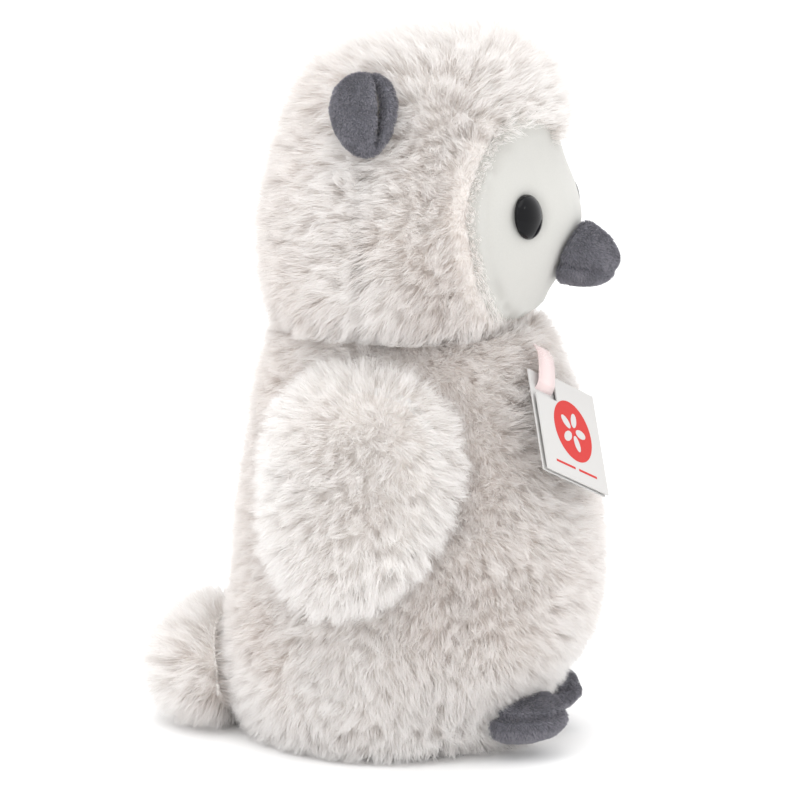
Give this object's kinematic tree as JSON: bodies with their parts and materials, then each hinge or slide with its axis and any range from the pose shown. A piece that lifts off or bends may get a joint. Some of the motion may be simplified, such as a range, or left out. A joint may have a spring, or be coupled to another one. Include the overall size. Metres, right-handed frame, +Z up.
{
  "type": "plush toy",
  "caption": "Standing plush penguin chick with long pale pile, a white velour face, grey beak, ears and feet, hanging wings, a tail and a hang tag.",
  "frame": {"origin": "on the surface that the toy stands on, under the centre of its box", "axes": "+Z up through the head, -Y the way the beak points, -X the toy's right side"},
  "size_m": [0.1396, 0.1541, 0.2277],
  "materials": {
    "long_pile_plush": "long soft off-white pile with beige-grey roots",
    "base_plush": "short off-white pile",
    "face_velour": "smooth white velour",
    "grey_plush": "dense short dark grey pile",
    "grey_sole_plush": "dense short grey pile",
    "polyester_filling": "loose white fibre",
    "pellet_bag_cloth": "woven cotton",
    "eye_black": "polished black",
    "washer_plastic": "plain moulded",
    "tag_card": "smooth coated white card",
    "ribbon_sheer": "sheer pale pink"
  },
  "bodies": {
    "toy": {"base_panel": "base_plush", "beak_lower": "grey_plush", "beak_stuffing": "polyester_filling", "beak_upper": "grey_plush", "belly_panel": "long_pile_plush", "body_stuffing": "polyester_filling", "cheek_panel_left": "long_pile_plush", "cheek_panel_right": "long_pile_plush", "crown_panel": "long_pile_plush", "ear_lining_left": "grey_sole_plush", "ear_lining_right": "grey_sole_plush", "ear_outer_left": "grey_plush", "ear_outer_right": "grey_plush", "eye_left": "eye_black", "eye_right": "eye_black", "eye_washer_left": "washer_plastic", "eye_washer_right": "washer_plastic", "face_panel": "face_velour", "foot_sole_left": "grey_sole_plush", "foot_sole_right": "grey_sole_plush", "foot_stuffing_left": "polyester_filling", "foot_stuffing_right": "polyester_filling", "foot_upper_left": "grey_plush", "foot_upper_right": "grey_plush", "head_back_left": "long_pile_plush", "head_back_right": "long_pile_plush", "head_stuffing": "polyester_filling", "pellet_bag": "pellet_bag_cloth", "side_panel_left": "long_pile_plush", "side_panel_right": "long_pile_plush", "tail_lower": "long_pile_plush", "tail_stuffing": "polyester_filling", "tail_upper": "long_pile_plush"},
    "wing_right": {"wing_inner_right": "long_pile_plush", "wing_outer_right": "long_pile_plush", "wing_wadding_right": "polyester_filling"},
    "wing_left": {"wing_inner_left": "long_pile_plush", "wing_outer_left": "long_pile_plush", "wing_wadding_left": "polyester_filling"},
    "hang_tag": {"tag_back_leaf": "tag_card", "tag_ribbon": "ribbon_sheer"},
    "tag_cover": {"tag_front_leaf": "tag_card"}
  },
  "joints": [
    {"name": "right_shoulder", "type": "hinge", "parent": "toy", "child": "wing_right", "pos_m": [-0.043, -0.0099, 0.129], "axis": [0, 1, 0], "range_deg": [0, 70]},
    {"name": "left_shoulder", "type": "hinge", "parent": "toy", "child": "wing_left", "pos_m": [0.043, -0.0099, 0.129], "axis": [0, -1, 0], "range_deg": [0, 70]},
    {"name": "tag_swing", "type": "hinge", "parent": "toy", "child": "hang_tag", "pos_m": [-0.0105, -0.0527, 0.129], "axis": [-0.9781, 0.2079, 0], "range_deg": [0, 50]},
    {"name": "tag_fold", "type": "hinge", "parent": "hang_tag", "child": "tag_cover", "pos_m": [-0.02468, -0.05267, 0.12477], "axis": [-0.5078, -0.2804, -0.8146], "range_deg": [0, 120]}
  ]
}
